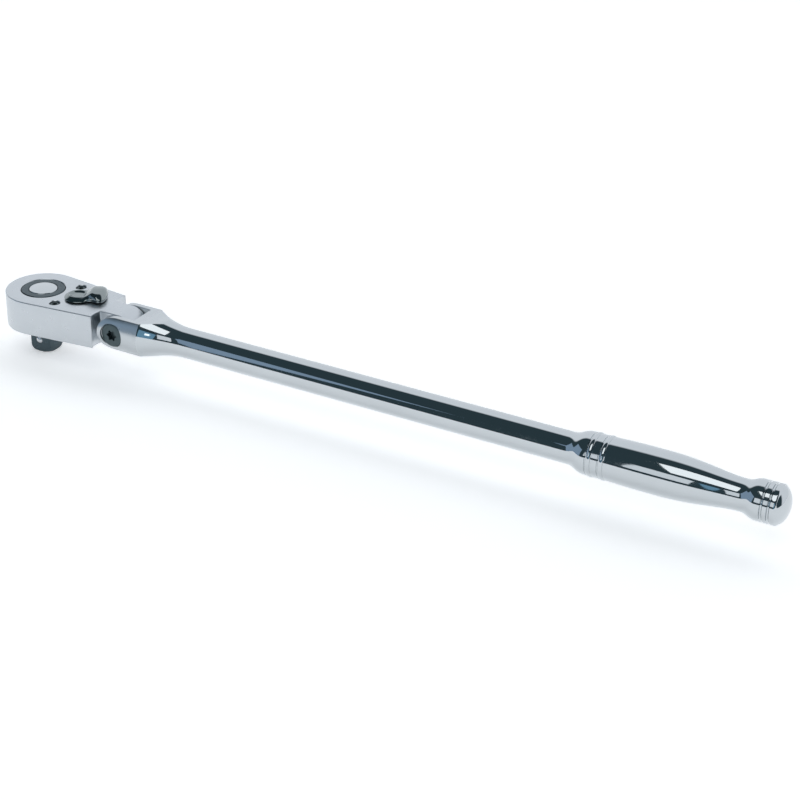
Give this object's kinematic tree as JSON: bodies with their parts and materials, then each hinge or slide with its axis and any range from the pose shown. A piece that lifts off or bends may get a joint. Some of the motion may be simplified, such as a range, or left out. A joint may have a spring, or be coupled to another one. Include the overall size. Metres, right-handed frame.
{
  "type": "flexible-head ratchet wrench",
  "caption": "Long chromed ratchet wrench with a flexing pear head, reverse lever, push-button release and a square drive.",
  "frame": {"origin": "centre of the square drive's end face, on the drive axis", "axes": "+X along the handle towards the butt, +Z along the drive axis towards the release button, -Y towards the pivot screw's head"},
  "size_m": [0.4362, 0.0396, 0.0398],
  "materials": {
    "polished_chrome": "mirror chrome plate",
    "satin_chrome": "satin chrome plate",
    "smoked_chrome": "dark bright plate",
    "black_steel": "black oxide",
    "bare_steel": "ground steel",
    "seal_rubber": "matte"
  },
  "bodies": {
    "handle": {"handle": "polished_chrome", "pivot_screw": "black_steel", "friction_washer_near": "bare_steel", "friction_washer_far": "bare_steel", "detent_spring": "bare_steel"},
    "detent": {"detent_ball": "bare_steel"},
    "head": {"head_housing": "satin_chrome", "cover_plate": "satin_chrome", "cover_screw_near": "black_steel", "cover_screw_far": "black_steel", "thrust_washer": "bare_steel"},
    "drive": {"drive_gear": "black_steel", "hub_seal": "seal_rubber", "release_spring": "bare_steel"},
    "button": {"release_button": "polished_chrome"},
    "ball": {"socket_ball": "bare_steel"},
    "lever": {"reverse_lever": "smoked_chrome", "pawl_spring": "bare_steel", "lever_seal": "seal_rubber", "lever_clip": "bare_steel"},
    "plunger": {"pawl_plunger": "bare_steel"},
    "pawl": {"pawl": "black_steel"}
  },
  "joints": [
    {"name": "head_tilt", "type": "hinge", "parent": "handle", "child": "head", "pos_m": [0.0532, 0, 0.025], "axis": [0, 1, 0], "range_deg": [-90, 90]},
    {"name": "detent_slide", "type": "slide", "parent": "handle", "child": "detent", "axis": [1, 0, 0], "range_m": [0, 0.0006], "stiffness_N_per_m": 3000, "springref_m": -0.002, "deforming": ["detent_spring"]},
    {"name": "drive_spin", "type": "hinge", "parent": "head", "child": "drive", "pos_m": [0, 0, 0.025], "axis": [0, 0, 1], "continuous": true},
    {"name": "button_press", "type": "slide", "parent": "drive", "child": "button", "axis": [0, 0, -1], "range_m": [0, 0.00225], "stiffness_N_per_m": 900, "springref_m": -0.003, "deforming": ["release_spring"]},
    {"name": "ball_slide", "type": "slide", "parent": "drive", "child": "ball", "axis": [0, 1, 0], "range_m": [0, 0.0009]},
    {"name": "lever_flip", "type": "hinge", "parent": "head", "child": "lever", "pos_m": [0.0235, 0, 0.0342], "axis": [0, 0, 1], "range_deg": [-58, 0]},
    {"name": "plunger_slide", "type": "slide", "parent": "lever", "child": "plunger", "axis": [0.8746, 0.4848, 0], "range_m": [0, 0.0008], "stiffness_N_per_m": 500, "springref_m": -0.002, "deforming": ["pawl_spring"]},
    {"name": "pawl_rock", "type": "hinge", "parent": "head", "child": "pawl", "pos_m": [0.0172, 0, 0.025], "axis": [0, 0, 1], "range_deg": [0, 12]}
  ],
  "couplings": [
    {"joint": "ball_slide", "follows": "button_press", "ratio": 0.4},
    {"joint": "pawl_rock", "follows": "lever_flip", "ratio": -0.2069}
  ]
}
